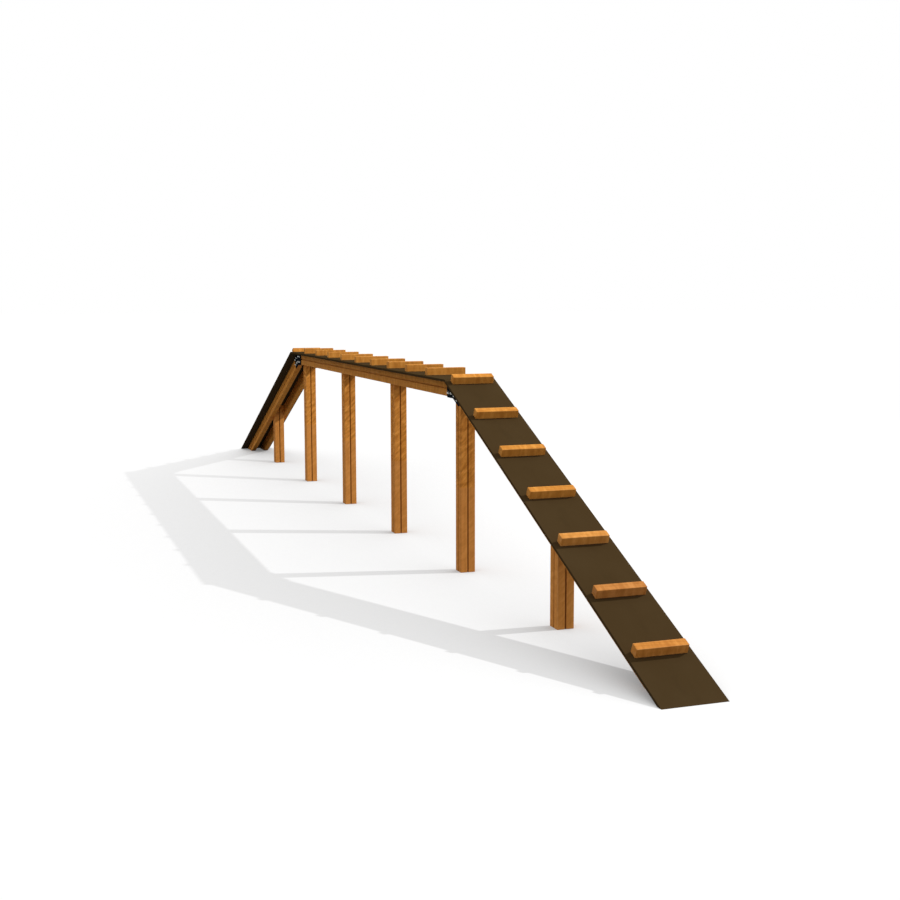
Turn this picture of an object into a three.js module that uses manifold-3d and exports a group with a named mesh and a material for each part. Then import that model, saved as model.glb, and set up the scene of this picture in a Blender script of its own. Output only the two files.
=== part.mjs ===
import * as THREE from 'three';
import { mergeVertices } from 'three/addons/utils/BufferGeometryUtils.js';
import Module from 'manifold-3d';

// A dog walk of wood: a raised bridge on a row of posts, with a fixed ramp at each end.
// Millimetres, +Z up, +X along the walk towards the near ramp, origin on the ground under its middle.

// The walk as a whole
const deckHeight = 1222;
const bridgeLength = 4445;
const rampLength = 3045;
const deckWidth = 329;
const panelThickness = 15;

// Beams and stringers, all cut from one grooved board
const beamThickness = 45;
const beamDepth = 100;

// Posts, and where they stand
const postSide = 95;
const bridgePostCount = 4;
const endPostInset = 72.5;
const rampPostRun = 1410;

// Cross slats
const slatWidth = 47;
const slatHeight = 47;
const slatLength = 263;
const bridgeSlatPitch = 442;
const rampSlatPitch = 440;
const rampFirstSlat = 46;
const bridgeSlatMargin = 200;
const toeSlatMargin = 300;

// Relief grooves and planed-off edges of the timber
const grooveWidth = 9;
const grooveDepth = 9;
const grooveFlare = 1;
const timberArris = 2;
const slatArris = 2;

// Bent joint plates and their screw holes
const plateThickness = 6;
const plateHeight = 105;
const plateLeg = 122;
const plateCorner = 12;
const plateReveal = 1;
const screwHole = 7;
const screwDrop = 50;
const screwRowSpacing = 49;
const screwFromBend = 35;
const screwPitch = 57;

// Hidden steel pins that hold each post between its beams
const pinDiameter = 12;
const pinOffset = 21;
const pinRecess = 1;
const pinCover = 10;

// Fit between neighbouring pieces, and the overrun of a cutting tool
const fitGap = 0.3;
const overrun = 4;

// Number of sides on round forms
const pinSides = 16;
const screwHoleSides = 6;

// The slope of a ramp, and the lines that follow from it
const slope = Math.asin(deckHeight / rampLength);
const foldX = bridgeLength / 2;
const mitreLean = Math.tan(slope / 2);
const beamTop = -panelThickness - fitGap;
const beamMiddle = beamTop - beamDepth / 2;
const beamBottom = beamTop - beamDepth;
const beamInnerFace = postSide / 2 + fitGap;
const beamOuterFace = beamInnerFace + beamThickness;
const beamY = (beamInnerFace + beamOuterFace) / 2;
const endPostX = foldX - endPostInset;
const rampPostX = foldX + rampPostRun;

// Materials
const honeyWood = () => new THREE.MeshStandardMaterial({ color: 0xb06c2e, roughness: 0.62, metalness: 0 });
const slatWood = () => new THREE.MeshStandardMaterial({ color: 0xc47c38, roughness: 0.6, metalness: 0 });
const filmFacedBoard = () => new THREE.MeshStandardMaterial({ color: 0x4a3a24, roughness: 0.55, metalness: 0 });
const blackSteel = () => new THREE.MeshStandardMaterial({ color: 0x1b2129, roughness: 0.45, metalness: 0.6 });
const zincSteel = () => new THREE.MeshStandardMaterial({ color: 0xb9bbb2, roughness: 0.35, metalness: 0.9 });

// Solid cutting
const wasm = await Module();
wasm.setup();

function toSolid(geometry) {
  const bare = geometry.clone();
  bare.deleteAttribute('normal');
  bare.deleteAttribute('uv');
  const merged = mergeVertices(bare);
  return new wasm.Manifold(new wasm.Mesh({
    numProp: 3,
    vertProperties: new Float32Array(merged.attributes.position.array),
    triVerts: new Uint32Array(merged.index.array),
  }));
}

function toGeometry(solid) {
  const mesh = solid.getMesh();
  const geometry = new THREE.BufferGeometry();
  geometry.setAttribute('position', new THREE.BufferAttribute(new Float32Array(mesh.vertProperties), 3));
  geometry.setIndex(new THREE.BufferAttribute(new Uint32Array(mesh.triVerts), 1));
  geometry.computeVertexNormals();
  return geometry;
}

function piece(name, geometry, material) {
  const mesh = new THREE.Mesh(geometry, material);
  mesh.name = name;
  return mesh;
}

// Sections of timber: the outline across the grain, y being the height of the section
function edgePoints(from, to, groove, arris) {
  const along = to.clone().sub(from).normalize();
  const inward = new THREE.Vector2(-along.y, along.x);
  const at = (point, forward, deep) => point.clone().addScaledVector(along, forward).addScaledVector(inward, deep);
  const points = [at(from, arris, 0)];
  if (groove) {
    const middle = from.clone().lerp(to, 0.5);
    points.push(at(middle, -grooveWidth / 2, 0));
    points.push(at(middle, -grooveWidth / 2 + grooveFlare, grooveDepth));
    points.push(at(middle, grooveWidth / 2 - grooveFlare, grooveDepth));
    points.push(at(middle, grooveWidth / 2, 0));
  }
  points.push(at(to, -arris, 0));
  return points;
}

// A rectangular section with its top at high; grooved lists which of bottom, right, top and left are grooved
function timberSection(width, low, high, arris, grooved) {
  const half = width / 2;
  const corners = [[-half, low], [half, low], [half, high], [-half, high]].map(([x, y]) => new THREE.Vector2(x, y));
  const outline = corners.flatMap((corner, side) => {
    return edgePoints(corner, corners[(side + 1) % corners.length], grooved[side], arris);
  });
  return new THREE.Shape(outline);
}

function panelSection() {
  const half = deckWidth / 2;
  return new THREE.Shape([
    new THREE.Vector2(-half, -panelThickness),
    new THREE.Vector2(half, -panelThickness),
    new THREE.Vector2(half, 0),
    new THREE.Vector2(-half, 0),
  ]);
}

const noGrooves = [false, false, false, false];
const sideGrooves = [false, true, false, true];
const allGrooves = [true, true, true, true];
const boardSection = timberSection(beamThickness, beamBottom, beamTop, timberArris, sideGrooves);
const postSection = timberSection(postSide, -postSide / 2, postSide / 2, timberArris, allGrooves);
const slatSection = timberSection(slatWidth, fitGap, fitGap + slatHeight, slatArris, noGrooves);

// A bar that lies along X. Each end is cut at the place that its rule gives for a height in the section.
function bar(section, startAt, endAt) {
  const geometry = new THREE.ExtrudeGeometry(section, { depth: 1, steps: 1, bevelEnabled: false });
  const position = geometry.attributes.position;
  for (let i = 0; i < position.count; i += 1) {
    const across = position.getX(i);
    const height = position.getY(i);
    const end = position.getZ(i) > 0 ? endAt(height) : startAt(height);
    position.setXYZ(i, end, across, height);
  }
  geometry.computeVertexNormals();
  return geometry;
}

// Cuts used at the ends of the bars, measured from the fold: the mitre there, and the ground at the toe
const mitre = (height) => -height * mitreLean + fitGap;
const groundCut = (height) => rampLength + height / Math.tan(slope);

// Pins: each pair sits on a diagonal about the middle of the board, level with the post
const pinPlaces = [[-pinOffset, pinOffset], [pinOffset, -pinOffset]];

function pinRod(x, height, diameter, fromY, toY) {
  const rod = new THREE.CylinderGeometry(diameter / 2, diameter / 2, toY - fromY, pinSides);
  rod.translate(x, (fromY + toY) / 2, height);
  return rod;
}

// The pin's two ends along Y, for a pin driven in from the side given by +1 or -1
function pinEnds(side, recess, cover) {
  const head = side * (beamOuterFace - recess);
  const tip = -side * (beamOuterFace - cover);
  return [Math.min(head, tip), Math.max(head, tip)];
}

function drill(geometry, places, side) {
  const [fromY, toY] = pinEnds(side, -overrun, pinCover - fitGap);
  let solid = toSolid(geometry);
  for (const [x, height] of places) {
    solid = solid.subtract(toSolid(pinRod(x, height, pinDiameter + 2 * fitGap, fromY, toY)));
  }
  return toGeometry(solid);
}

function pins(names, places, side) {
  const [fromY, toY] = pinEnds(side, pinRecess, pinCover);
  return places.map(([x, height], i) => {
    return piece(names[i], pinRod(x, height, pinDiameter, fromY, toY), zincSteel());
  });
}

// The grooved board in its place across the walk; side is +1 or -1
function board(startAt, endAt, side) {
  const geometry = bar(boardSection, startAt, endAt);
  geometry.translate(0, side * beamY, 0);
  return geometry;
}

// A post stands on the ground; topAt gives its top for a distance along X from its middle
function post(x, topAt) {
  const geometry = bar(postSection, () => 0, (height) => topAt(-height));
  geometry.rotateY(-Math.PI / 2);
  geometry.translate(x, 0, 0);
  return geometry;
}

function slat(name) {
  const geometry = bar(slatSection, () => -slatLength / 2, () => slatLength / 2);
  geometry.rotateZ(Math.PI / 2);
  return piece(name, geometry, slatWood());
}

// Sides of the walk, seen from the foot of the near ramp
const sides = [{ side: -1, name: 'left' }, { side: 1, name: 'right' }];

// The bridge, in a group whose zero height is the walking face
function bridge() {
  const group = new THREE.Group();
  const deck = new THREE.Group();
  deck.position.z = deckHeight;
  group.add(deck);
  const towardsFar = (height) => -foldX + mitre(height);
  const towardsNear = (height) => foldX - mitre(height);
  deck.add(piece('bridge_panel', bar(panelSection(), towardsFar, towardsNear), filmFacedBoard()));

  const postSpacing = 2 * endPostX / (bridgePostCount - 1);
  const postPlaces = Array.from({ length: bridgePostCount }, (_, i) => endPostX - i * postSpacing);
  const inBoard = postPlaces.flatMap((x) => pinPlaces.map(([dx, dz]) => [x + dx, beamMiddle + dz]));
  for (const { side, name } of sides) {
    const geometry = drill(board(towardsFar, towardsNear, side), inBoard, 1);
    deck.add(piece(`bridge_beam_${name}`, geometry, honeyWood()));
  }
  postPlaces.forEach((x, i) => {
    const places = pinPlaces.map(([dx, dz]) => [x + dx, deckHeight + beamMiddle + dz]);
    const geometry = drill(post(x, () => deckHeight + beamTop), places, 1);
    group.add(piece(`bridge_post_${i + 1}`, geometry, honeyWood()));
    group.add(...pins([`bridge_pin_${i + 1}a`, `bridge_pin_${i + 1}b`], places, 1));
  });

  const slatsEachWay = Math.floor((foldX - bridgeSlatMargin) / bridgeSlatPitch);
  for (let i = -slatsEachWay; i <= slatsEachWay; i += 1) {
    const oneSlat = slat(`bridge_slat_${slatsEachWay - i + 1}`);
    oneSlat.position.x = i * bridgeSlatPitch;
    deck.add(oneSlat);
  }
  return group;
}

// A rounded outline through the given corners
function roundedShape(corners, rounding) {
  const shape = new THREE.Shape();
  corners.forEach((corner, i) => {
    const before = corners[(i + corners.length - 1) % corners.length];
    const after = corners[(i + 1) % corners.length];
    const enter = corner.clone().add(before.clone().sub(corner).setLength(rounding[i]));
    const leave = corner.clone().add(after.clone().sub(corner).setLength(rounding[i]));
    if (i === 0) {
      shape.moveTo(enter.x, enter.y);
    } else {
      shape.lineTo(enter.x, enter.y);
    }
    if (rounding[i] > 0) {
      shape.quadraticCurveTo(corner.x, corner.y, leave.x, leave.y);
    }
  });
  shape.closePath();
  return shape;
}

// The bent plate: one leg on the beam and one on the stringer, bent at the mitre between them.
// Its outline is drawn from the fold, x towards the toe and y up.
function jointPlate(name, side) {
  const top = -panelThickness - plateReveal;
  const middle = top - plateHeight / 2;
  const bottom = top - plateHeight;
  const level = (along, height) => new THREE.Vector2(height * mitreLean - along, height);
  const sloping = (along, height) => {
    return new THREE.Vector2(along - height * mitreLean, height).rotateAround(new THREE.Vector2(), -slope);
  };
  const legEnd = (height) => plateLeg + (height - middle) * mitreLean;
  const screwMiddle = top - screwDrop;
  const corners = [
    level(legEnd(bottom), bottom),
    level(0, bottom),
    sloping(legEnd(bottom), bottom),
    sloping(legEnd(top), top),
    level(0, top),
    level(legEnd(top), top),
  ];
  const rounding = [plateCorner, 0, plateCorner, plateCorner, 0, plateCorner];
  const shape = roundedShape(corners, rounding);
  for (const leg of [level, sloping]) {
    for (const row of [-screwRowSpacing / 2, screwRowSpacing / 2]) {
      for (const along of [screwFromBend, screwFromBend + screwPitch]) {
        const centre = leg(along + row * mitreLean, screwMiddle + row);
        const hole = new THREE.Path();
        hole.absarc(centre.x, centre.y, screwHole / 2, 0, 2 * Math.PI, true);
        shape.holes.push(hole);
      }
    }
  }
  const settings = { depth: plateThickness, steps: 1, bevelEnabled: false, curveSegments: screwHoleSides };
  const geometry = new THREE.ExtrudeGeometry(shape, settings);
  geometry.rotateX(Math.PI / 2);
  const innerFace = beamOuterFace + fitGap;
  geometry.translate(0, side > 0 ? innerFace + plateThickness : -innerFace, 0);
  return piece(name, geometry, blackSteel());
}

// One end of the walk, built at the near end: its ramp, its post and its joint plates.
// The far end is the same group turned round, so there the sides change places.
function rampEnd(end, turned) {
  const group = new THREE.Group();
  const pinSide = turned ? -1 : 1;
  const nameOf = (side) => sides.find((entry) => entry.side === side * pinSide).name;

  const fold = new THREE.Group();
  fold.position.set(foldX, 0, deckHeight);
  group.add(fold);
  const ramp = new THREE.Group();
  ramp.rotation.y = slope;
  fold.add(ramp);
  ramp.add(piece(`${end}_ramp_panel`, bar(panelSection(), mitre, groundCut), filmFacedBoard()));

  // The place on the sloping board that lies plumb with the post
  const postAlong = (rampPostRun - beamMiddle * Math.sin(slope)) / Math.cos(slope);
  const inBoard = pinPlaces.map(([dx, dz]) => [postAlong + dx, beamMiddle + dz]);
  for (const { side } of sides) {
    const geometry = drill(board(mitre, groundCut, side), inBoard, pinSide);
    ramp.add(piece(`${end}_ramp_stringer_${nameOf(side)}`, geometry, honeyWood()));
  }
  ramp.add(...pins([`${end}_ramp_pin_a`, `${end}_ramp_pin_b`], inBoard, pinSide));

  // The post's top is cut to the underside of the sloping panel
  const topAt = (fromMiddle) => {
    return deckHeight - (rampPostRun + fromMiddle) * Math.tan(slope) + beamTop / Math.cos(slope);
  };
  const inPost = inBoard.map(([along, height]) => [
    foldX + along * Math.cos(slope) + height * Math.sin(slope),
    deckHeight - along * Math.sin(slope) + height * Math.cos(slope),
  ]);
  group.add(piece(`${end}_ramp_post`, drill(post(rampPostX, topAt), inPost, pinSide), honeyWood()));

  const slatCount = Math.floor((rampLength - rampFirstSlat - toeSlatMargin) / rampSlatPitch) + 1;
  for (let i = 0; i < slatCount; i += 1) {
    const oneSlat = slat(`${end}_ramp_slat_${i + 1}`);
    oneSlat.position.x = rampFirstSlat + i * rampSlatPitch;
    ramp.add(oneSlat);
  }
  for (const { side } of sides) {
    fold.add(jointPlate(`${end}_joint_plate_${nameOf(side)}`, side));
  }
  group.rotation.z = turned ? Math.PI : 0;
  return group;
}

const group = new THREE.Group();
group.add(bridge());
group.add(rampEnd('near', false));
group.add(rampEnd('far', true));

export default group;
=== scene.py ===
import itertools
import math
import random

import bmesh
import bpy
from mathutils import Matrix, Vector, noise


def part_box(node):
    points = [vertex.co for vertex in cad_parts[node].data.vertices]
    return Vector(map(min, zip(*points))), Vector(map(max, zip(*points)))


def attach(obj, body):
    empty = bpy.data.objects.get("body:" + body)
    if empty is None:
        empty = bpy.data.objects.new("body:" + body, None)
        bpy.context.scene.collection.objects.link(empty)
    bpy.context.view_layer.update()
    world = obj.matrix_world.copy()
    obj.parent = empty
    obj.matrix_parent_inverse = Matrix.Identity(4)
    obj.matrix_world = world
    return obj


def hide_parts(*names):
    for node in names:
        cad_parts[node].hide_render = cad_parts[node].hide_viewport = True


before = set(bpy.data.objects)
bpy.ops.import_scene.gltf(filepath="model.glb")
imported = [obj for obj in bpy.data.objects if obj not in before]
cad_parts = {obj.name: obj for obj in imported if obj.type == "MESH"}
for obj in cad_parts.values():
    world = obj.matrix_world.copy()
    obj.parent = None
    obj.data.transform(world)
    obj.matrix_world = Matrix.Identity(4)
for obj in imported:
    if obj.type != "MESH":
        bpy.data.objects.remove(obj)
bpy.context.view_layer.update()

# Camera
# The walk is seen by somebody standing off its near end, a little to its left, who looks along the bridge.
# Place and aim were worked out from the photograph, with the posts taken as 95 mm square.

photo_width = 900
focal_pixels = 1272.2
film_width = 36.0
far_clip = 500.0
eye = Vector((9.5976, -2.7024, 1.7099))
turn = 0.3359
tilt = -0.1179
roll = -0.0018

camera_data = bpy.data.cameras.new("camera")
camera_data.sensor_width = film_width
camera_data.lens = focal_pixels / photo_width * film_width
camera_data.clip_end = far_clip
camera = bpy.data.objects.new("camera", camera_data)
bpy.context.scene.collection.objects.link(camera)
aim = Vector((-math.cos(turn) * math.cos(tilt), math.sin(turn) * math.cos(tilt), math.sin(tilt)))
level_right = aim.cross(Vector((0, 0, 1))).normalized()
level_up = level_right.cross(aim)
right = math.cos(roll) * level_right + math.sin(roll) * level_up
up = -math.sin(roll) * level_right + math.cos(roll) * level_up
camera.matrix_world = Matrix.Translation(eye) @ Matrix((right, up, -aim)).transposed().to_4x4()
bpy.context.scene.camera = camera


# Bridge posts and ramp posts
# Square posts of laminated softwood with a relief groove down each face, planed, stained honey brown.
# They stand in one row on the centre line; the two ramp posts are cut to the slope at the top.

groove_width = 0.009
groove_depth = 0.009
groove_flare = 0.001
groove_easing = 0.0012
timber_arris = 0.002
arris_steps = 4
worn_width = 0.005
# How much shade is painted into a groove at its mouth; its floor takes the full share.
mouth_shade_share = 0.4
end_easing = 0.0010
station_spacing = 0.04
dent_depth = 0.0007
dent_threshold = 0.25
dents_along = 16
dents_across = 40
bore_clearance = 0.0003
bore_overrun = 0.006
bore_sides = 32
smooth_below = math.radians(35)
grain_shift = 3.7


def edge_profile(start, end, radius, grooved):
    """Points, arris rubbing and painted shade along one side of a section: a rounded arris, the flat face
    and its groove.

    The value is 1 on the rubbed arris, 0 on the flat and -1 down in the groove, where shade is painted in.
    """
    along = (end - start).normalized()
    inward = Vector((-along.y, along.x))
    centre = start + radius * along + radius * inward
    points = []
    for step in range(arris_steps + 1):
        angle = math.pi / 2 * step / arris_steps
        points.append((centre - radius * math.cos(angle) * along - radius * math.sin(angle) * inward, 1.0))
    points.append((start + (radius + worn_width) * along, 0.0))
    if grooved:
        middle = (start + end) / 2
        mouth = groove_width / 2
        floor = mouth - groove_flare
        # The last figure of each step is the share of painted shade at that point.
        steps = ((mouth + groove_easing, 0, 0.0), (mouth, groove_easing, mouth_shade_share),
                 (floor, groove_depth - groove_easing, 1.0), (floor - groove_easing, groove_depth, 1.0))
        for across, deep, shade_share in steps:
            points.append((middle - across * along + deep * inward, -shade_share))
        for across, deep, shade_share in reversed(steps):
            points.append((middle + across * along + deep * inward, -shade_share))
    points.append((end - (radius + worn_width) * along, 0.0))
    return points


def timber_profile(width, low, high, radius, grooves=(False,) * 4):
    """The rounded outline of a timber; grooves says which of bottom, right, top and left have a groove."""
    half = width / 2
    corners = [Vector(c) for c in ((-half, low), (half, low), (half, high), (-half, high))]
    profile = []
    for side, start in enumerate(corners):
        profile += edge_profile(start, corners[(side + 1) % 4], radius, grooves[side])
    return profile


def inset_outline(points, depth):
    """The outline drawn in by a depth, so that an end can be eased."""
    inset = []
    for i, point in enumerate(points):
        before = (point - points[i - 1]).normalized()
        after = (points[(i + 1) % len(points)] - point).normalized()
        normal = Vector((-before.y - after.y, before.x + after.x))
        share = 2 / max(normal.length_squared, 1)
        inset.append(point + normal * depth * share)
    return inset


def write_grain(mesh, to_grain, number, tone):
    """Stores where each point lies along, across and up the timber, and the tone of this one timber."""
    places = mesh.attributes.new("grain", "FLOAT_VECTOR", "POINT")
    tones = mesh.attributes.new("tone", "FLOAT_VECTOR", "POINT")
    shift = Vector((grain_shift * number, 0, 0))
    for vertex, place, point_tone in zip(mesh.vertices, places.data, tones.data):
        place.vector = to_grain @ vertex.co + shift
        point_tone.vector = tone


def new_piece(name, mesh, nodes):
    """A piece that stands for CAD nodes and rides on the one body of the walk."""
    piece = bpy.data.objects.new(name, mesh)
    bpy.context.scene.collection.objects.link(piece)
    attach(piece, "root")
    if nodes:
        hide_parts(*nodes)
    return piece


def loft(profile, start_at, end_at, spacing, easing, seed):
    """A timber along X. Each end is cut at the place that its rule gives for a height in the section."""
    outline = [point for point, rubbing_and_shade in profile]
    # Each point carries its rubbing on the arris, or, as a negative value, the shade painted into a groove.
    rubbing_and_shade_values = [rubbing_and_shade for point, rubbing_and_shade in profile]
    eased = inset_outline(outline, easing)
    middle_length = end_at(outline[0].y) - start_at(outline[0].y)
    count = max(2, round(middle_length / spacing))
    stations = [(0.0, 0.0, eased), (0.0, easing, outline)]
    stations += [(step / count, 0.0, outline) for step in range(1, count)]
    stations += [(1.0, -easing, outline), (1.0, 0.0, eased)]
    made = bmesh.new()
    rubbing_and_shade_layer = made.verts.layers.float.new("rubbing_and_shade")
    rings = []
    for share, nudge, points in stations:
        ring = []
        for (across, height), rubbing_and_shade in zip(points, rubbing_and_shade_values):
            along = start_at(height) + (end_at(height) - start_at(height)) * share + nudge
            spot = Vector((along * dents_along, across * dents_across, height * dents_across + seed))
            dent = max(0.0, noise.noise(spot) - dent_threshold)
            pull = 1 - max(rubbing_and_shade, 0.0) * dent * dent_depth / max(abs(across), abs(height), timber_arris)
            vertex = made.verts.new((along, across * pull, height))
            vertex[rubbing_and_shade_layer] = rubbing_and_shade
            ring.append(vertex)
        rings.append(ring)
    size = len(outline)
    for one, two in zip(rings, rings[1:]):
        for i in range(size):
            made.faces.new((one[i], one[(i + 1) % size], two[(i + 1) % size], two[i]))
    made.faces.new(list(reversed(rings[0])))
    made.faces.new(rings[-1])
    bmesh.ops.recalc_face_normals(made, faces=made.faces)
    return made


def bore_pins(mesh, pin_nodes):
    """Cuts the round holes of the pins out of a timber. The pins come in from the +Y side."""
    made = bmesh.new()
    for node in pin_nodes:
        low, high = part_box(node)
        low_y = low.y - bore_clearance
        high_y = high.y + bore_overrun
        radius = (high.z - low.z) / 2 + bore_clearance
        centre = Vector(((low.x + high.x) / 2, (low_y + high_y) / 2, (low.z + high.z) / 2))
        bmesh.ops.create_cone(made, cap_ends=True, segments=bore_sides, radius1=radius, radius2=radius,
                              depth=high_y - low_y,
                              matrix=Matrix.Translation(centre) @ Matrix.Rotation(math.pi / 2, 4, "X"))
    bores = bpy.data.meshes.new("pin_bores")
    made.to_mesh(bores)
    made.free()
    cutter = bpy.data.objects.new("pin_bores", bores)
    timber = bpy.data.objects.new("bored_timber", mesh)
    for item in (cutter, timber):
        bpy.context.scene.collection.objects.link(item)
    cut = timber.modifiers.new("bores", "BOOLEAN")
    cut.operation = "DIFFERENCE"
    cut.solver = "EXACT"
    cut.object = cutter
    bored = bpy.data.meshes.new_from_object(timber.evaluated_get(bpy.context.evaluated_depsgraph_get()))
    for item in (cutter, timber):
        bpy.data.objects.remove(item)
    bpy.data.meshes.remove(bores)
    return bored


def finish_mesh(made, name, matrix, number, tone=(1.0, 1.0, 1.0), bored_for=()):
    """Turns a lofted timber into a mesh in its place, bored for its pins and smooth over rounded edges."""
    mesh = bpy.data.meshes.new(name)
    made.to_mesh(mesh)
    made.free()
    mesh.transform(matrix)
    if bored_for:
        mesh = bore_pins(mesh, bored_for)
    mesh.shade_smooth()
    mesh.set_sharp_from_angle(angle=smooth_below)
    write_grain(mesh, matrix.inverted(), number, tone)
    return mesh


class Value:
    """A shader socket that Python arithmetic works on: each operation adds its Math node."""

    def __init__(self, shading, socket):
        self.shading = shading
        self.socket = socket

    def math(self, operation, *items, clamp=False):
        settings = {"operation": operation, "use_clamp": clamp}
        terms = dict(zip(("Value", "Value_001", "Value_002"), items))
        return self.shading.node("Math", settings, "Value", **terms)

    def __add__(self, other):
        return self.math("ADD", self, other)

    def __radd__(self, other):
        return self.math("ADD", other, self)

    def __sub__(self, other):
        return self.math("SUBTRACT", self, other)

    def __rsub__(self, other):
        return self.math("SUBTRACT", other, self)

    def __mul__(self, other):
        return self.math("MULTIPLY", self, other)

    def __rmul__(self, other):
        return self.math("MULTIPLY", other, self)

    def __truediv__(self, other):
        return self.math("DIVIDE", self, other)

    def __rtruediv__(self, other):
        return self.math("DIVIDE", other, self)

    def __pow__(self, other):
        return self.math("POWER", self, other)

    def sine(self):
        return self.math("SINE", self)

    def above(self, edge):
        return self.math("GREATER_THAN", self, edge)

    def limited(self):
        return self.math("ADD", self, 0.0, clamp=True)

    def ramped(self, low, high):
        """0 below low, 1 above high, and a smooth rise between."""
        settings = {"interpolation_type": "SMOOTHSTEP"}
        span = {"From_Min": low, "From_Max": high, "To_Min": 0.0, "To_Max": 1.0}
        return self.shading.node("MapRange", settings, "Result", Value=self, **span)


class Shading:
    """A tree of shader nodes, with one method that adds any node to it."""

    def __init__(self, tree):
        self.tree = tree

    def find(self, sockets, key):
        for socket in sockets:
            if key in (socket.identifier, socket.name.replace(" ", "_")):
                return socket
        raise KeyError(key)

    def plug(self, slot, item):
        """Links a socket to a slot, or writes a plain value into it."""
        if isinstance(item, Value):
            self.tree.links.new(item.socket, slot)
        elif hasattr(slot.default_value, "__len__") and len(slot.default_value) == 4 and len(item) == 3:
            slot.default_value = (*item, 1.0)
        else:
            slot.default_value = item

    def node(self, kind, settings, output, **items):
        node = self.tree.nodes.new("ShaderNode" + kind)
        for key, value in settings.items():
            setattr(node, key, value)
        for key, item in items.items():
            self.plug(self.find(node.inputs, key), item)
        return Value(self, self.find(node.outputs, output))


class Finish(Shading):
    """A material, with the nodes that several of the finishes need."""

    def __init__(self, name, **uniform):
        self.material = bpy.data.materials.new(name)
        self.material.use_nodes = True
        super().__init__(self.material.node_tree)
        self.shader = self.tree.nodes["Principled BSDF"]
        self.set(**uniform)

    def mix(self, factor, first, second, blend_type="MIX"):
        settings = {"data_type": "RGBA", "blend_type": blend_type}
        items = {"Factor_Float": factor, "A_Color": first, "B_Color": second}
        return self.node("Mix", settings, "Result_Color", **items)

    def stretched(self, vector, scales):
        settings = {"operation": "MULTIPLY"}
        return self.node("VectorMath", settings, "Vector", Vector=vector, Vector_001=scales)

    def noise(self, vector, scales, detail=3.0, roughness=0.5):
        settings = {"noise_dimensions": "3D"}
        place = self.stretched(vector, scales)
        return self.node("TexNoise", settings, "Fac", Vector=place, Scale=1.0, Detail=detail,
                         Roughness=roughness)

    def set(self, **items):
        for key, item in items.items():
            self.plug(self.find(self.shader.inputs, key), item)

    def bump(self, height, distance, strength):
        normal = self.node("Bump", {}, "Normal", Height=height, Distance=distance, Strength=strength)
        self.set(Normal=normal)


early_wood = (0.70, 0.285, 0.050)
late_wood = (0.56, 0.205, 0.032)
dark_streak = (0.50, 0.180, 0.027)
pale_streak = (0.80, 0.345, 0.068)
knot_wood = (0.13, 0.042, 0.012)
worn_wood = (0.82, 0.42, 0.14)
# Dark brown painted into the grooves as shade.
painted_groove_shade = (0.120, 0.042, 0.010)
upper_tone = (1.03, 1.01, 0.93)
lower_tone = (0.98, 0.99, 1.18)
ring_width = 0.0034
pith_below = 0.055
pith_aside = 0.018
pith_wander = 0.045
pith_sway = 0.05
ring_ripple = 0.0022
knot_push = 0.006
joint_spacing = 0.925
finger_pitch = 0.008
finger_length = 0.009


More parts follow.
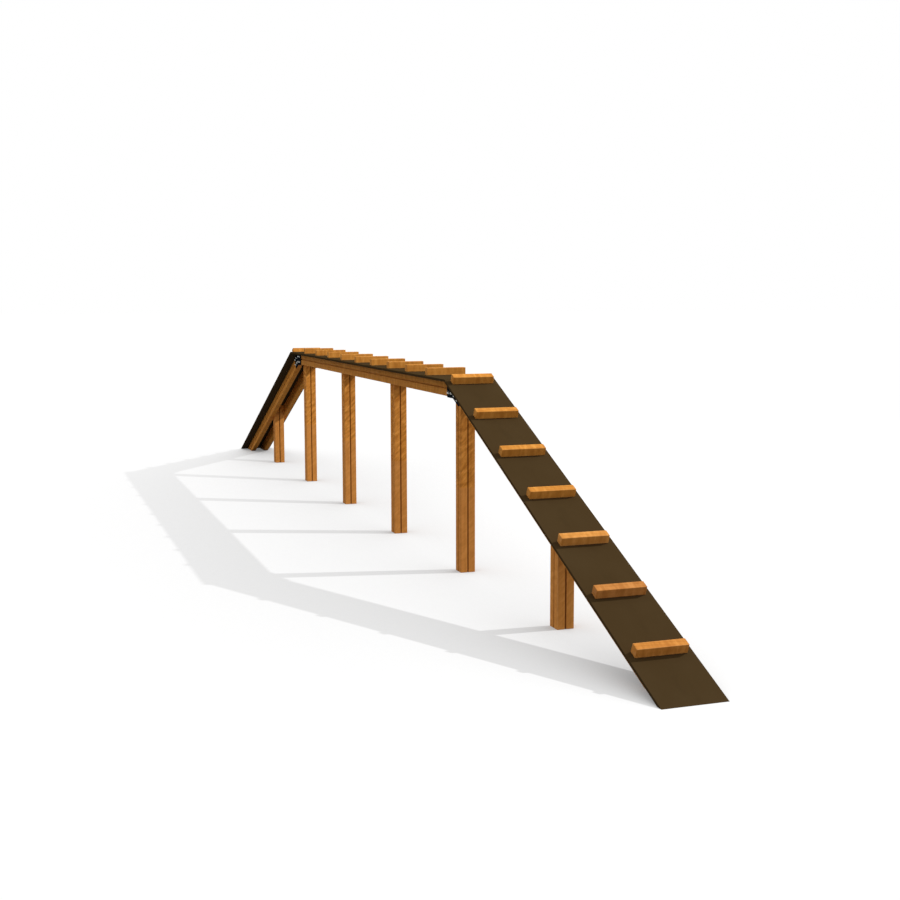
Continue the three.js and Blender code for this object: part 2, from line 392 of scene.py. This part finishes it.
def stained_wood(name, ring_scale=1.0, figure_scales=(38.0, 18.0, 18.0), figure_depth=1.0,
                 figure_slant=-0.8, groove_shade_share=0.60, joint_height=None):
    """Softwood under a thin honey stain: growth rings round an off-centre pith, streaks, a cross figure,
    arrises rubbed paler and painted shade in the grooves. With a joint height, each timber is finger-jointed
    there.
    """
    finish = Finish(name, Specular_IOR_Level=0.03)
    grain = finish.node("Attribute", {"attribute_name": "grain"}, "Vector")
    rubbing_and_shade = finish.node("Attribute", {"attribute_name": "rubbing_and_shade"}, "Fac")
    tone = finish.node("Attribute", {"attribute_name": "tone"}, "Vector")
    along = finish.node("SeparateXYZ", {}, "X", Vector=grain)
    across = finish.node("SeparateXYZ", {}, "Y", Vector=grain)
    height = finish.node("SeparateXYZ", {}, "Z", Vector=grain)

    knot_place = finish.stretched(grain, (3.0, 11.0, 11.0))
    cells = {"Vector": knot_place, "Scale": 1.0, "Randomness": 1.0}
    knots = finish.node("TexVoronoi", {"feature": "F1"}, "Distance", **cells)
    knot_pick = finish.node("TexVoronoi", {"feature": "F1"}, "Color", **cells)
    picked = finish.node("SeparateColor", {}, "Red", Color=knot_pick).above(0.90)
    knot = (1 - knots.ramped(0.05, 0.12)) * picked
    around_knot = (1 - knots.ramped(0.06, 0.36)) * picked

    wander = finish.noise(grain, (0.9, 5.0, 5.0), 2.0) - 0.5
    sway = finish.noise(grain, (0.7, 3.0, 3.0), 2.0) - 0.5
    ripple = finish.noise(grain, (3.0, 60.0, 60.0), 3.0) - 0.5
    from_pith_across = across + pith_aside + wander * pith_wander
    from_pith_up = height + pith_below + sway * pith_sway
    radius = (from_pith_across * from_pith_across + from_pith_up * from_pith_up) ** 0.5
    radius = radius + ripple * ring_ripple + around_knot * knot_push
    turns = radius * (2 * math.pi / (ring_width * ring_scale))
    ring = (turns.sine() * 0.5 + 0.5) ** 2.2

    streaks = finish.noise(grain, (1.1, 55.0, 55.0), 4.0, 0.6)
    broad = finish.noise(grain, (0.8, 11.0, 11.0), 2.0)
    fibre = finish.noise(grain, (40.0, 1400.0, 1400.0), 2.0, 0.7)
    blotch = finish.noise(grain, (5.0, 14.0, 14.0), 3.0)
    slanted = along + across * figure_slant
    slanted = finish.node("CombineXYZ", {}, "Vector", X=slanted, Y=across, Z=height)
    figure = finish.noise(slanted, figure_scales, 3.0, 0.6)
    strength = figure_depth
    shade = fibre * 0.16 + 0.92
    if joint_height is not None:
        fingers = height.math("PINGPONG", height, finger_pitch / 2) * (2 * finger_length / finger_pitch)
        block = (along + fingers - joint_height) / joint_spacing
        block = block.math("FLOOR", block)
        block_tone = finish.node("TexWhiteNoise", {"noise_dimensions": "1D"}, "Value", W=block)
        shade = shade * (block_tone * 0.10 + 0.95)
        lower = (block * 0.5).math("FRACT", block * 0.5) * 2
        strength = (1 - lower * 0.65) * figure_depth

    wood = finish.mix(ring * 0.75, early_wood, late_wood)
    wood = finish.mix(streaks.ramped(0.52, 0.74) * 0.55, wood, dark_streak)
    wood = finish.mix((1 - streaks.ramped(0.26, 0.46)) * 0.55, wood, pale_streak)
    wood = finish.mix(broad.ramped(0.42, 0.66) * 0.22, wood, dark_streak)
    wood = finish.mix(blotch.ramped(0.58, 0.72) * 0.18, wood, late_wood)
    wood = finish.mix(figure.ramped(0.48, 0.66) * strength, wood, dark_streak)
    wood = finish.mix((1 - figure.ramped(0.34, 0.50)) * strength, wood, pale_streak)
    if joint_height is not None:
        wood = finish.mix(1.0, wood, finish.mix(lower, upper_tone, lower_tone), "MULTIPLY")
    wood = finish.mix(around_knot * 0.30, wood, dark_streak)
    wood = finish.mix(knot * 0.70, wood, knot_wood)
    wood = finish.mix(rubbing_and_shade.limited() * streaks.ramped(0.40, 0.62) * 0.30, wood, worn_wood)
    # Painted shade: the grooves are darkened towards this dark brown.
    wood = finish.mix((rubbing_and_shade * -1).limited() * groove_shade_share, wood, painted_groove_shade)
    shade_colour = finish.node("CombineColor", {}, "Color", Red=shade, Green=shade, Blue=shade)
    wood = finish.mix(1.0, wood, shade_colour, "MULTIPLY")
    wood = finish.mix(1.0, wood, tone, "MULTIPLY")
    finish.set(Base_Color=wood, Roughness=0.70 - ring * 0.12 + fibre * 0.08 - knot * 0.15)
    finish.bump(ring * -0.25 + fibre * 0.55 + streaks * 0.30 + knot * 0.5, 0.0004, 0.55)
    return finish.material


post_joint_height = 0.54
post_wood = stained_wood("stained_post_wood", joint_height=post_joint_height)
post_groove_sides = (True, True, True, True)
# Painted light: the near ramp post and the first bridge post are given lighter tones than the other posts,
# as lit copies of the same wood.
lit_post_tones = {"near_ramp_post": (1.22, 1.25, 1.40), "bridge_post_1": (1.12, 1.10, 1.20)}
usual_post_tone = (1.08, 1.07, 1.15)
deck_low, deck_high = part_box("bridge_panel")
toe_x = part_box("near_ramp_panel")[1].x
fold_x = deck_high.x
slope = math.atan(deck_high.z / (toe_x - fold_x))
piece_numbers = itertools.count(1)
pin_nodes = sorted(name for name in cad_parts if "_pin_" in name)


def make_post(node, top_lean):
    low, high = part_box(node)
    side = high.y - low.y
    middle_top = high.z - abs(top_lean) * side / 2
    profile = timber_profile(side, -side / 2, side / 2, timber_arris, post_groove_sides)
    matrix = Matrix.Translation(((low.x + high.x) / 2, 0, 0)) @ Matrix.Rotation(-math.pi / 2, 4, "Y")
    number = next(piece_numbers)
    made = loft(profile, lambda height: 0.0, lambda height: middle_top + height * top_lean,
                station_spacing, end_easing, number)
    own_pins = [pin for pin in pin_nodes if pin.startswith(node.replace("post", "pin"))]
    mesh = finish_mesh(made, node, matrix, number, lit_post_tones.get(node, usual_post_tone), own_pins)
    piece = new_piece(node + "_timber", mesh, [node])
    piece.data.materials.append(post_wood)


for node in sorted(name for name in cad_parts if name.startswith("bridge_post")):
    make_post(node, 0.0)
make_post("near_ramp_post", math.tan(slope))
make_post("far_ramp_post", -math.tan(slope))


# Bridge beams and ramp stringers
# Planed boards with one groove along each wide face, from the same stained softwood as the posts.
# They run in pairs that grip the posts between them, mitred at the fold and cut flat on the ground.

# The boards' grooves take a lighter painted shade than the posts'.
board_wood = stained_wood("stained_board_wood", figure_scales=(30.0, 12.0, 12.0), figure_depth=0.55,
                          figure_slant=0.0, groove_shade_share=0.22)
# Painted light: the far ramp's stringers are made lighter, standing in for light bounced up under the far
# ramp.
lit_board_tones = dict.fromkeys(("far_ramp_stringer_left", "far_ramp_stringer_right"), (1.15, 1.15, 1.10))
usual_board_tone = (1.0, 1.0, 1.0)
board_groove_sides = (False, True, False, True)
fold_gap = 0.0003
board_low, board_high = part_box("bridge_beam_left")
board_thickness = board_high.y - board_low.y
board_top = board_high.z - deck_high.z
board_bottom = board_low.z - deck_high.z
mitre_lean = math.tan(slope / 2)
ramp_length = math.hypot(toe_x - fold_x, deck_high.z)
bridge_frame = Matrix.Translation((0, 0, deck_high.z))
near_frame = Matrix.Translation((fold_x, 0, deck_high.z)) @ Matrix.Rotation(slope, 4, "Y")
ramp_frames = {"near": near_frame, "far": Matrix.Rotation(math.pi, 4, "Z") @ near_frame}


def mitre(height):
    return -height * mitre_lean + fold_gap


def ground_cut(height):
    return ramp_length + height / math.tan(slope)


def make_board(node, matrix, start_at, end_at):
    low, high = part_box(node)
    centre_y = (matrix.inverted() @ Vector((0, (low.y + high.y) / 2, deck_high.z))).y
    profile = timber_profile(board_thickness, board_bottom, board_top, timber_arris, board_groove_sides)
    number = next(piece_numbers)
    made = loft(profile, start_at, end_at, station_spacing, end_easing, number)
    place = matrix @ Matrix.Translation((0, centre_y, 0))
    own_pins = [pin for pin in pin_nodes if pin.split("_")[0] == node.split("_")[0]]
    mesh = finish_mesh(made, node, place, number, lit_board_tones.get(node, usual_board_tone), own_pins)
    piece = new_piece(node + "_timber", mesh, [node])
    piece.data.materials.append(board_wood)


for side in ("left", "right"):
    make_board(f"bridge_beam_{side}", bridge_frame, lambda height: -fold_x + mitre(height),
               lambda height: fold_x - mitre(height))
    for end, ramp_frame in ramp_frames.items():
        make_board(f"{end}_ramp_stringer_{side}", ramp_frame, mitre, ground_cut)


# Deck panels
# Three boards of dark brown film-faced plywood with a fine anti-slip mesh pressed into the walking face.
# The sawn edges are sealed brown. The panels are mitred at the folds and cut flat on the ground.

panel_width = deck_high.y - deck_low.y
panel_thickness = deck_high.z - deck_low.z
panel_arris = 0.0009
panel_spacing = 0.08
faces_squarely = 0.9
film_brown = (0.0680, 0.0412, 0.0166)
film_reverse = (0.0400, 0.0250, 0.0095)
film_dust = (0.110, 0.074, 0.036)
film_scuff = (0.046, 0.029, 0.012)
edge_brown = (0.0600, 0.0370, 0.0150)
edge_ply = (0.090, 0.056, 0.023)
mesh_pitch = 0.0065
track_sharpness = 95.0
ply_thickness = 0.00125


def film_facing():
    """Phenolic film with its pressed wire mesh, faint dust in the mesh and scuffs down the middle."""
    finish = Finish("film_facing", Specular_IOR_Level=0.0)
    grain = finish.node("Attribute", {"attribute_name": "grain"}, "Vector")
    along = finish.node("SeparateXYZ", {}, "X", Vector=grain)
    across = finish.node("SeparateXYZ", {}, "Y", Vector=grain)
    per_pitch = 2 * math.pi / mesh_pitch
    wires_across = ((along * per_pitch).sine() * 0.5 + 0.5) ** 6.0
    wires_along = ((across * per_pitch).sine() * 0.5 + 0.5) ** 6.0
    wire = (wires_across + wires_along).limited()
    cloud = finish.noise(grain, (2.2, 3.5, 3.5), 4.0, 0.6)
    speck = finish.noise(grain, (420.0, 420.0, 420.0), 2.0, 0.6)
    near_middle = (1 - across * across * track_sharpness).limited()
    paw_track = near_middle * finish.noise(grain, (7.0, 16.0, 16.0), 4.0, 0.6)
    film = finish.mix(cloud.ramped(0.35, 0.75) * 0.16, film_brown, film_dust)
    film = finish.mix(paw_track.ramped(0.42, 0.70) * 0.22, film, film_scuff)
    film = finish.mix(wire * 0.24, film, film_scuff)
    film = finish.mix(speck.ramped(0.62, 0.80) * 0.18, film, film_dust)
    finish.set(Base_Color=film, Roughness=0.72 + cloud * 0.12 + paw_track * 0.10 - wire * 0.05)
    finish.bump(wire * -0.7 + speck * 0.25, 0.0006, 0.7)
    return finish.material


def film_back():
    """The smooth darker film of the underside, with a few clouds and fine scratches along the board."""
    finish = Finish("film_back", Specular_IOR_Level=0.02)
    grain = finish.node("Attribute", {"attribute_name": "grain"}, "Vector")
    cloud = finish.noise(grain, (2.6, 4.0, 4.0), 4.0, 0.6)
    scratch = finish.noise(grain, (5.0, 900.0, 900.0), 3.0, 0.6)
    film = finish.mix(cloud.ramped(0.35, 0.75) * 0.30, film_reverse, film_scuff)
    film = finish.mix(scratch.ramped(0.66, 0.80) * 0.20, film, film_dust)
    finish.set(Base_Color=film, Roughness=0.58 + cloud * 0.16 + scratch * 0.10)
    finish.bump(scratch * -0.4 + cloud * 0.2, 0.0002, 0.4)
    return finish.material


def sealed_edge():
    """The sawn edge under brown sealer, with the veneers just showing as fine lines."""
    finish = Finish("sealed_edge", Specular_IOR_Level=0.0)
    grain = finish.node("Attribute", {"attribute_name": "grain"}, "Vector")
    height = finish.node("SeparateXYZ", {}, "Z", Vector=grain)
    ply = (height * (math.pi / ply_thickness)).sine() * 0.5 + 0.5
    patchy = finish.noise(grain, (14.0, 14.0, 90.0), 4.0, 0.6)
    edge = finish.mix(ply.ramped(0.4, 0.9) * patchy.ramped(0.35, 0.7) * 0.45, edge_brown, edge_ply)
    finish.set(Base_Color=edge, Roughness=0.52 + patchy * 0.2)
    finish.bump(ply * 0.5 + patchy * 0.5, 0.0003, 0.5)
    return finish.material


panel_finishes = (film_facing(), film_back(), sealed_edge())


def make_panel(node, matrix, start_at, end_at):
    profile = timber_profile(panel_width, -panel_thickness, 0, panel_arris)
    number = next(piece_numbers)
    made = loft(profile, start_at, end_at, panel_spacing, panel_arris / 2, number)
    mesh = finish_mesh(made, node, matrix, number)
    for finish in panel_finishes:
        mesh.materials.append(finish)
    face_up = matrix.to_3x3() @ Vector((0, 0, 1))
    for polygon in mesh.polygons:
        facing = polygon.normal.dot(face_up)
        polygon.material_index = 0 if facing > faces_squarely else 1 if facing < -faces_squarely else 2
    piece = new_piece(node + "_board", mesh, [node])


make_panel("bridge_panel", bridge_frame, lambda height: -fold_x + mitre(height),
           lambda height: fold_x - mitre(height))
for end, ramp_frame in ramp_frames.items():
    make_panel(f"{end}_ramp_panel", ramp_frame, mitre, ground_cut)


# Cross slats
# Short square lengths of the same stained softwood with eased edges, a stride apart for the paws to grip.
# Each sits flat on its panel and is held by two screws that come up through the panel from below.

slat_arris = 0.0015
slat_spacing = 0.02
slat_wood = stained_wood("stained_slat_wood", ring_scale=1.15, figure_scales=(36.0, 9.0, 9.0),
                         figure_depth=0.60, figure_slant=0.0)
slat_tones = {"near_ramp_slat_5": (1.09, 1.16, 1.48), "near_ramp_slat_6": (0.89, 0.89, 1.25),
              "near_ramp_slat_7": (0.99, 0.98, 1.12)}
usual_slat_tone = (1.06, 1.09, 1.10)
slat_low, slat_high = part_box("bridge_slat_1")
slat_width, slat_length, slat_height = slat_high - slat_low
across_walk = Matrix.Rotation(math.pi / 2, 4, "Z")
slat_turns = {"bridge": Matrix(),
              "near": Matrix.Rotation(slope, 4, "Y"),
              "far": Matrix.Rotation(-slope, 4, "Y")}


def make_slat(node):
    low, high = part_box(node)
    matrix = Matrix.Translation((low + high) / 2) @ slat_turns[node.split("_")[0]] @ across_walk
    profile = timber_profile(slat_width, -slat_height / 2, slat_height / 2, slat_arris)
    number = next(piece_numbers)
    made = loft(profile, lambda height: -slat_length / 2, lambda height: slat_length / 2,
                slat_spacing, slat_arris, number)
    mesh = finish_mesh(made, node, matrix, number, slat_tones.get(node, usual_slat_tone))
    piece = new_piece(node + "_timber", mesh, [node])
    piece.data.materials.append(slat_wood)


slat_nodes = sorted(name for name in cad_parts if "_slat_" in name)
for node in slat_nodes:
    make_slat(node)


# Hidden pins
# Round zinc-plated steel pins, two through each post and its boards, driven in from the right side.
# They keep their own solids. Their ends lie just below the face of the board, and those at the folds also
# lie under the joint plates.


def zinc_steel(name, brightness):
    """Dull zinc plate: a little cloudy, with fine marks."""
    finish = Finish(name, Metallic=0.85, Roughness=0.4)
    place = finish.node("TexCoord", {}, "Object")
    cloud = finish.noise(place, (60.0, 60.0, 60.0), 4.0, 0.6)
    marks = finish.noise(place, (900.0, 900.0, 900.0), 2.0, 0.6)
    pale = tuple(brightness * shade for shade in (0.98, 1.0, 0.96))
    dull = tuple(brightness * shade for shade in (0.66, 0.66, 0.60))
    finish.set(Base_Color=finish.mix(cloud.ramped(0.35, 0.7), pale, dull), Roughness=0.30 + cloud * 0.25)
    finish.bump(marks, 0.0001, 0.4)
    return finish.material


pin_steel = zinc_steel("pin_steel", 0.55)
for node in pin_nodes:
    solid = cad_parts[node]
    solid.data.materials.clear()
    solid.data.materials.append(pin_steel)


# Joint plates
# Flat steel plates bent to the angle of the ramp, powder-coated blue-black, laid over each mitre outside.
# One leg lies on the beam and one on the stringer. The coating eases their edges.

plate_nodes = sorted(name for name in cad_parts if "joint_plate" in name)
plate_edge = 0.0008
weld_distance = 1e-6
flat_within = math.radians(1)
rim_above = math.radians(60)
coat_black = (0.0112, 0.0147, 0.0200)
coat_worn = (0.022, 0.028, 0.034)


def black_coat():
    """Satin powder coat with its fine orange peel and a little wear."""
    finish = Finish("black_coat", Specular_IOR_Level=0.0)
    place = finish.node("TexCoord", {}, "Object")
    peel = finish.noise(place, (520.0, 520.0, 520.0), 2.0, 0.5)
    rub = finish.noise(place, (38.0, 38.0, 38.0), 5.0, 0.65)
    finish.set(Base_Color=finish.mix(rub.ramped(0.58, 0.74) * 0.5, coat_black, coat_worn),
               Roughness=0.34 + rub * 0.22)
    finish.bump(peel, 0.0002, 0.4)
    return finish.material


plate_coat = black_coat()


def make_plate(node):
    made = bmesh.new()
    made.from_mesh(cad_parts[node].data)
    bmesh.ops.remove_doubles(made, verts=made.verts, dist=weld_distance)
    bmesh.ops.dissolve_limit(made, angle_limit=flat_within, verts=made.verts, edges=made.edges)
    rims = [edge for edge in made.edges if edge.is_manifold and edge.calc_face_angle() > rim_above]
    bmesh.ops.bevel(made, geom=rims, offset=plate_edge, segments=2, profile=0.5, affect="EDGES",
                    clamp_overlap=True)
    mesh = bpy.data.meshes.new(node)
    made.to_mesh(mesh)
    made.free()
    mesh.shade_smooth()
    mesh.set_sharp_from_angle(angle=smooth_below)
    mesh.materials.clear()
    mesh.materials.append(plate_coat)
    piece = new_piece(node + "_steel", mesh, [node])


for node in plate_nodes:
    make_plate(node)


# Plate screws
# Hexagon-head coach screws on washers, bright zinc, eight to a plate in two rows.
# Four bite into the beam and four into the stringer, on either side of the mitre.

washer_radius = 0.0085
washer_thickness = 0.0018
head_flats = 0.0130
head_height = 0.0075
head_dome = 0.0012
head_sides = 6
round_sides = 24
screw_smooth_below = math.radians(40)
screw_from_bend = 0.035
screw_pitch = 0.057
screw_row_spacing = 0.049
screws_below_deck = 0.066
screw_zinc = zinc_steel("screw_zinc", 0.70)


def add_rings(made, matrix, sides, shapes, turn=0.0):
    """A closed turned form along +Z, given the radius and height of each ring from its foot to its top."""
    rings = []
    for reach, rise in shapes:
        ring = []
        for side in range(sides):
            angle = 2 * math.pi * side / sides + turn
            corner = Vector((reach * math.cos(angle), reach * math.sin(angle), rise))
            ring.append(made.verts.new(matrix @ corner))
        rings.append(ring)
    for one, two in zip(rings, rings[1:]):
        for i in range(sides):
            made.faces.new((one[i], one[(i + 1) % sides], two[(i + 1) % sides], two[i]))
    made.faces.new(list(reversed(rings[0])))
    made.faces.new(rings[-1])


def add_coach_screw(made, matrix, turn):
    """A washer with rounded rims, a six-sided head and the low dome on its top."""
    rim = washer_thickness / 4
    washer = ((washer_radius - rim, 0), (washer_radius, rim), (washer_radius, washer_thickness - rim),
              (washer_radius - rim, washer_thickness))
    add_rings(made, matrix, round_sides, washer)
    corner = head_flats / 2 / math.cos(math.pi / head_sides)
    top = washer_thickness + head_height
    easing = head_dome / 3
    hexagon = ((corner, washer_thickness), (corner, top - easing), (corner - easing, top))
    add_rings(made, matrix, head_sides, hexagon, turn)
    flat = head_flats / 2 - easing
    dome = ((flat, top), (flat * 0.92, top + head_dome * 0.45), (flat * 0.70, top + head_dome * 0.80),
            (flat * 0.35, top + head_dome))
    add_rings(made, matrix, round_sides, dome)


def screw_piece(name, made, finish):
    mesh = bpy.data.meshes.new(name)
    bmesh.ops.recalc_face_normals(made, faces=made.faces)
    made.to_mesh(mesh)
    made.free()
    mesh.shade_smooth()
    mesh.set_sharp_from_angle(angle=screw_smooth_below)
    mesh.materials.append(finish)
    piece = new_piece(name, mesh, [])


# Each head is left at the turn where the spanner stopped.
spanner = random.Random(7)

for node in plate_nodes:
    low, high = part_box(node)
    outward = -1 if low.y < 0 else 1
    face_y = low.y if outward < 0 else high.y
    flip = 1 if node.startswith("near") else -1
    made = bmesh.new()
    for row in (-screw_row_spacing / 2, screw_row_spacing / 2):
        for step in (0, 1):
            along = screw_from_bend + screw_pitch * step + row * mitre_lean
            rise = row - screws_below_deck
            on_beam = Vector((rise * mitre_lean - along, 0, rise))
            on_stringer = Matrix.Rotation(slope, 3, "Y") @ Vector((along - rise * mitre_lean, 0, rise))
            for spot in (on_beam, on_stringer):
                place = Vector((flip * (fold_x + spot.x), face_y, deck_high.z + spot.z))
                facing_out = Matrix.Rotation(-outward * math.pi / 2, 4, "X")
                add_coach_screw(made, Matrix.Translation(place) @ facing_out, spanner.uniform(0, math.pi))
    screw_piece(node.replace("joint_plate", "plate_screws"), made, screw_zinc)


# Slat screws
# Countersunk screws in dark zinc, two to a slat, driven up through the panel from below.
# Their flat heads lie flush with the underside of the panel, clear of the beams.

slat_screw_radius = 0.0042
slat_screw_proud = 0.0003
slat_screw_inset = 0.022
recess_share = 0.50
recess_taper = 0.9
recess_depth = 0.0014
recess_sides = 24
flat_head = ((1.0, 0.0), (1.0, 0.6), (0.96, 1.0), (recess_share, 1.0))
dark_zinc = zinc_steel("dark_screw_zinc", 0.09)

for run in ("bridge", "near", "far"):
    made = bmesh.new()
    for node in slat_nodes:
        if node.startswith(run):
            low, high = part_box(node)
            turn_down = slat_turns[run] @ Matrix.Rotation(math.pi, 4, "X")
            for side in (-1, 1):
                depth = slat_height / 2 + panel_thickness + slat_screw_proud
                under = Vector((0, side * (slat_length / 2 - slat_screw_inset), -depth))
                place = (low + high) / 2 + slat_turns[run].to_3x3() @ under
                rings = [(slat_screw_radius * across, slat_screw_proud * rise) for across, rise in flat_head]
                recess_floor = slat_screw_radius * recess_share * recess_taper
                rings.append((recess_floor, slat_screw_proud - recess_depth))
                add_rings(made, Matrix.Translation(place) @ turn_down, recess_sides, rings)
    screw_piece(f"{run}_slat_screws", made, dark_zinc)


# Floor and light
# A plain pale floor, an even pale sky, and one small lamp high on the right that throws the shadow left.
# The lamp's place comes from the shadow's outline in the photograph, the strengths from its timber faces.

sky_strength = 0.66
lamp_place = Vector((4.056, 8.488, 8.440))
lamp_power = 4110.0
lamp_radius = 0.07
floor_reach = 150.0
floor_squares = 8
floor_pale = 0.423
floor_open = 0.462
floor_lift = 0.106
floor_white = 1.02
floor_dark = (0.20, 0.20, 0.20)
sky_reach = 4.0

made = bmesh.new()
bmesh.ops.create_grid(made, x_segments=floor_squares, y_segments=floor_squares, size=floor_reach)
floor_mesh = bpy.data.meshes.new("floor")
made.to_mesh(floor_mesh)
made.free()
floor = bpy.data.objects.new("floor", floor_mesh)
bpy.context.scene.collection.objects.link(floor)


def in_view(shading):
    """1 for a ray that shows the background itself: from the camera, off metal or through glass."""
    camera_ray = shading.node("LightPath", {}, "Is_Camera_Ray")
    glossy_ray = shading.node("LightPath", {}, "Is_Glossy_Ray")
    transmission_ray = shading.node("LightPath", {}, "Is_Transmission_Ray")
    return (camera_ray + glossy_ray + transmission_ray).limited()


# The camera sees the floor pale, lifted where the sky above it is open, and lifted more as the lamp's
# light fades, so that it stays white far away and keeps a soft shade under the walk.
# Light that bounces off it finds it a darker grey, and so the underside of the walk keeps its shade.
floor_finish = Finish("pale_floor")
place = floor_finish.node("TexCoord", {}, "Object")
from_lamp = floor_finish.node("VectorMath", {"operation": "DISTANCE"}, "Value", Vector=place,
                              Vector_001=lamp_place)
lamp_light = lamp_power * lamp_place.z / (4 * math.pi ** 2) / from_lamp ** 3.0
open_sky = floor_finish.node("AmbientOcclusion", {"samples": 16}, "AO", Distance=sky_reach)
shortfall = floor_white - floor_open - floor_pale * (sky_strength + lamp_light)
lift = shortfall.math("MAXIMUM", shortfall, floor_lift) + open_sky * floor_open
lift_colour = floor_finish.node("CombineColor", {}, "Color", Red=lift, Green=lift, Blue=lift)
pale = floor_finish.node("BsdfDiffuse", {}, "BSDF", Color=(floor_pale, floor_pale, floor_pale))
glow = floor_finish.node("Emission", {}, "Emission", Color=lift_colour, Strength=1.0)
seen = floor_finish.node("AddShader", {}, "Shader", Shader=pale, Shader_001=glow)
bounced = floor_finish.node("BsdfDiffuse", {}, "BSDF", Color=floor_dark)
chosen = floor_finish.node("MixShader", {}, "Shader", Fac=in_view(floor_finish), Shader=bounced,
                           Shader_001=seen)
floor_finish.plug(floor_finish.tree.nodes["Material Output"].inputs["Surface"], chosen)
floor_mesh.materials.append(floor_finish.material)

world = bpy.data.worlds.new("sky")
world.use_nodes = True
bpy.context.scene.world = world
sky_shading = Shading(world.node_tree)
sky = world.node_tree.nodes["Background"]
sky_shading.plug(sky.inputs["Color"], (1.0, 1.0, 1.0))
sky_shading.plug(sky.inputs["Strength"], in_view(sky_shading) * (1 - sky_strength) + sky_strength)

lamp_data = bpy.data.lights.new("lamp", "POINT")
lamp_data.energy = lamp_power
lamp_data.shadow_soft_size = lamp_radius
lamp = bpy.data.objects.new("lamp", lamp_data)
lamp.location = lamp_place
bpy.context.scene.collection.objects.link(lamp)

bpy.context.scene.view_settings.view_transform = "Standard"
